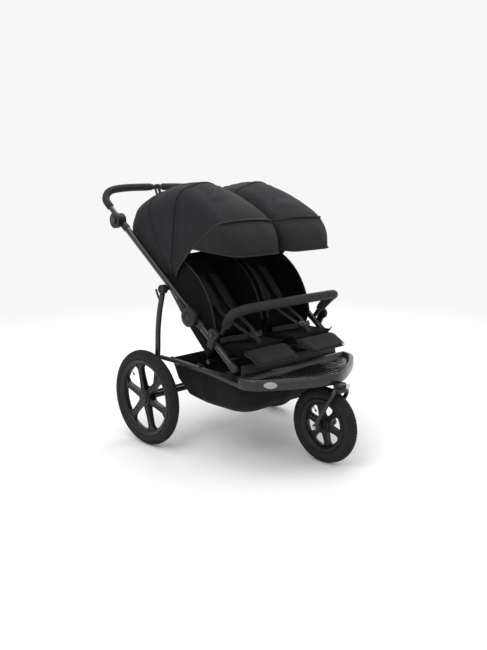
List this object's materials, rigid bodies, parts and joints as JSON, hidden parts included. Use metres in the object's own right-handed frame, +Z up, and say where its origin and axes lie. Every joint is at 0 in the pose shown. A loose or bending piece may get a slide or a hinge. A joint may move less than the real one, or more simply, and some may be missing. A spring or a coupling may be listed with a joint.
{
  "type": "double jogging stroller",
  "caption": "Side-by-side double jogging stroller with three air-tyred wheels, folding frame, two reclining seats, folding hoods, bumper bar, footrest and storage basket.",
  "frame": {"origin": "middle of the footprint, on the ground", "axes": "+Z up; the stroller faces -Y; +X is the children's left-hand side"},
  "size_m": [0.811, 1.2316, 1.1121],
  "materials": {
    "fabric_black": "plain woven polyester",
    "fabric_hood": "coated woven polyester",
    "foam": "soft closed-cell foam",
    "frame_paint": "satin powder coat",
    "plastic_black": "moulded, fine grain",
    "plastic_satin": "satin moulded",
    "rim_plastic": "moulded",
    "steel": "bright",
    "tyre_rubber": "matt rubber"
  },
  "bodies": {
    "root": {"brake_clamp": "plastic_black", "bumper_socket_left": "plastic_black", "bumper_socket_right": "plastic_black", "calf_panel": "plastic_black", "fold_hub_left": "plastic_black", "fold_hub_right": "plastic_black", "footrest_tray": "plastic_satin", "front_tube_left": "frame_paint", "front_tube_right": "frame_paint", "hood_bracket_left": "plastic_black", "hood_bracket_right": "plastic_black", "hood_rear_left": "fabric_hood", "hood_rear_right": "fabric_hood", "lower_frame": "frame_paint", "rear_axle": "frame_paint", "rear_leg_left": "frame_paint", "rear_leg_right": "frame_paint", "seat_base_left": "fabric_black", "seat_base_right": "fabric_black", "seat_front_crossbar": "frame_paint", "seat_rear_crossbar": "frame_paint", "storage_basket": "fabric_black", "swivel_head": "plastic_black"},
    "rear_wheel_right": {"rear_right_wheel": "rim_plastic", "rear_right_tyre": "tyre_rubber"},
    "rear_wheel_left": {"rear_left_wheel": "rim_plastic", "rear_left_tyre": "tyre_rubber"},
    "fork": {"front_fork": "frame_paint", "front_axle": "steel"},
    "front_wheel": {"front_wheel": "rim_plastic", "front_tyre": "tyre_rubber"},
    "swivel_lock": {"swivel_lock_knob": "steel"},
    "brake": {"brake_bar": "frame_paint", "brake_pedal": "plastic_satin"},
    "backrest_right": {"backrest_right": "fabric_black"},
    "leg_rest_right": {"leg_rest_right": "fabric_hood"},
    "hood_middle_right": {"hood_middle_right": "fabric_hood"},
    "hood_front_right": {"hood_front_right": "fabric_hood"},
    "visor_right": {"hood_visor_right": "fabric_hood"},
    "backrest_left": {"backrest_left": "fabric_black"},
    "leg_rest_left": {"leg_rest_left": "fabric_hood"},
    "hood_middle_left": {"hood_middle_left": "fabric_hood"},
    "hood_front_left": {"hood_front_left": "fabric_hood"},
    "visor_left": {"hood_visor_left": "fabric_hood"},
    "upper_frame": {"upper_tube_right": "frame_paint", "upper_tube_left": "frame_paint", "handle_hub_right": "plastic_black", "handle_hub_left": "plastic_black"},
    "handle": {"push_handle": "frame_paint", "handle_grip_right": "foam", "handle_grip_left": "foam", "wrist_strap": "fabric_black"},
    "handle_button_right": {"handle_button_right": "plastic_satin"},
    "fold_lock_right": {"fold_lock_right": "plastic_black"},
    "handle_button_left": {"handle_button_left": "plastic_satin"},
    "fold_lock_left": {"fold_lock_left": "plastic_black"},
    "bumper": {"bumper_tube": "frame_paint", "bumper_foam": "foam"},
    "bumper_button_right": {"bumper_button_right": "plastic_satin"},
    "bumper_button_left": {"bumper_button_left": "plastic_satin"}
  },
  "joints": [
    {"name": "rear_wheel_right_spin", "type": "hinge", "parent": "root", "child": "rear_wheel_right", "pos_m": [-0.381, 0.2112, 0.206], "axis": [1, 0, 0], "continuous": true},
    {"name": "rear_wheel_left_spin", "type": "hinge", "parent": "root", "child": "rear_wheel_left", "pos_m": [0.381, 0.2112, 0.206], "axis": [1, 0, 0], "continuous": true},
    {"name": "fork_swivel", "type": "hinge", "parent": "root", "child": "fork", "pos_m": [0, -0.5328, 0.3], "axis": [0, 0, 1], "continuous": true},
    {"name": "front_wheel_spin", "type": "hinge", "parent": "fork", "child": "front_wheel", "pos_m": [0, -0.4588, 0.157], "axis": [1, 0, 0], "continuous": true},
    {"name": "swivel_lock_lift", "type": "slide", "parent": "root", "child": "swivel_lock", "axis": [0, 0, 1], "range_m": [0, 0.008], "stiffness_N_per_m": 150, "springref_m": -0.002},
    {"name": "brake_press", "type": "hinge", "parent": "root", "child": "brake", "pos_m": [0, 0.2472, 0.21], "axis": [1, 0, 0], "range_deg": [-16, 0]},
    {"name": "backrest_right_recline", "type": "hinge", "parent": "root", "child": "backrest_right", "pos_m": [-0.152, -0.1238, 0.475], "axis": [1, 0, 0], "range_deg": [-30, 0]},
    {"name": "leg_rest_right_tilt", "type": "hinge", "parent": "root", "child": "leg_rest_right", "pos_m": [-0.152, -0.2638, 0.454], "axis": [1, 0, 0], "range_deg": [0, 28]},
    {"name": "hood_front_right_fold", "type": "hinge", "parent": "hood_middle_right", "child": "hood_front_right", "pos_m": [-0.152, 0.14005, 0.67689], "axis": [1, 0, 0], "range_deg": [-35, 0]},
    {"name": "hood_middle_right_fold", "type": "hinge", "parent": "root", "child": "hood_middle_right", "pos_m": [-0.152, 0.14005, 0.67689], "axis": [1, 0, 0], "range_deg": [-35, 0]},
    {"name": "visor_right_flip", "type": "hinge", "parent": "hood_front_right", "child": "visor_right", "pos_m": [-0.152, -0.18898, 0.96901], "axis": [1, 0, 0], "range_deg": [-100, 0]},
    {"name": "backrest_left_recline", "type": "hinge", "parent": "root", "child": "backrest_left", "pos_m": [0.152, -0.1238, 0.475], "axis": [1, 0, 0], "range_deg": [-30, 0]},
    {"name": "leg_rest_left_tilt", "type": "hinge", "parent": "root", "child": "leg_rest_left", "pos_m": [0.152, -0.2638, 0.454], "axis": [1, 0, 0], "range_deg": [0, 28]},
    {"name": "hood_front_left_fold", "type": "hinge", "parent": "hood_middle_left", "child": "hood_front_left", "pos_m": [0.152, 0.14005, 0.67689], "axis": [1, 0, 0], "range_deg": [-35, 0]},
    {"name": "hood_middle_left_fold", "type": "hinge", "parent": "root", "child": "hood_middle_left", "pos_m": [0.152, 0.14005, 0.67689], "axis": [1, 0, 0], "range_deg": [-35, 0]},
    {"name": "visor_left_flip", "type": "hinge", "parent": "hood_front_left", "child": "visor_left", "pos_m": [0.152, -0.18898, 0.96901], "axis": [1, 0, 0], "range_deg": [-100, 0]},
    {"name": "frame_fold", "type": "hinge", "parent": "root", "child": "upper_frame", "pos_m": [0, -0.0238, 0.582], "axis": [1, 0, 0], "range_deg": [0, 120]},
    {"name": "handle_tilt", "type": "hinge", "parent": "upper_frame", "child": "handle", "pos_m": [0, 0.46081, 0.94586], "axis": [1, 0, 0], "range_deg": [-55, 0]},
    {"name": "handle_button_right_press", "type": "slide", "parent": "upper_frame", "child": "handle_button_right", "axis": [1, 0, 0], "range_m": [0, 0.004], "stiffness_N_per_m": 300, "springref_m": -0.002},
    {"name": "fold_lock_right_slide", "type": "slide", "parent": "upper_frame", "child": "fold_lock_right", "axis": [0, 0.7997, 0.6004], "range_m": [0, 0.012], "stiffness_N_per_m": 250, "springref_m": -0.004},
    {"name": "handle_button_left_press", "type": "slide", "parent": "upper_frame", "child": "handle_button_left", "axis": [-1, 0, 0], "range_m": [0, 0.004], "stiffness_N_per_m": 300, "springref_m": -0.002},
    {"name": "fold_lock_left_slide", "type": "slide", "parent": "upper_frame", "child": "fold_lock_left", "axis": [0, 0.7997, 0.6004], "range_m": [0, 0.012], "stiffness_N_per_m": 250, "springref_m": -0.004},
    {"name": "bumper_swing", "type": "hinge", "parent": "root", "child": "bumper", "pos_m": [0, -0.1638, 0.53], "axis": [1, 0, 0], "range_deg": [-50, 0]},
    {"name": "bumper_button_right_press", "type": "slide", "parent": "root", "child": "bumper_button_right", "axis": [1, 0, 0], "range_m": [0, 0.004], "stiffness_N_per_m": 300, "springref_m": -0.002},
    {"name": "bumper_button_left_press", "type": "slide", "parent": "root", "child": "bumper_button_left", "axis": [-1, 0, 0], "range_m": [0, 0.004], "stiffness_N_per_m": 300, "springref_m": -0.002}
  ],
  "couplings": [
    {"joint": "hood_middle_right_fold", "follows": "hood_front_right_fold", "ratio": 1},
    {"joint": "hood_middle_left_fold", "follows": "hood_front_left_fold", "ratio": 1}
  ]
}
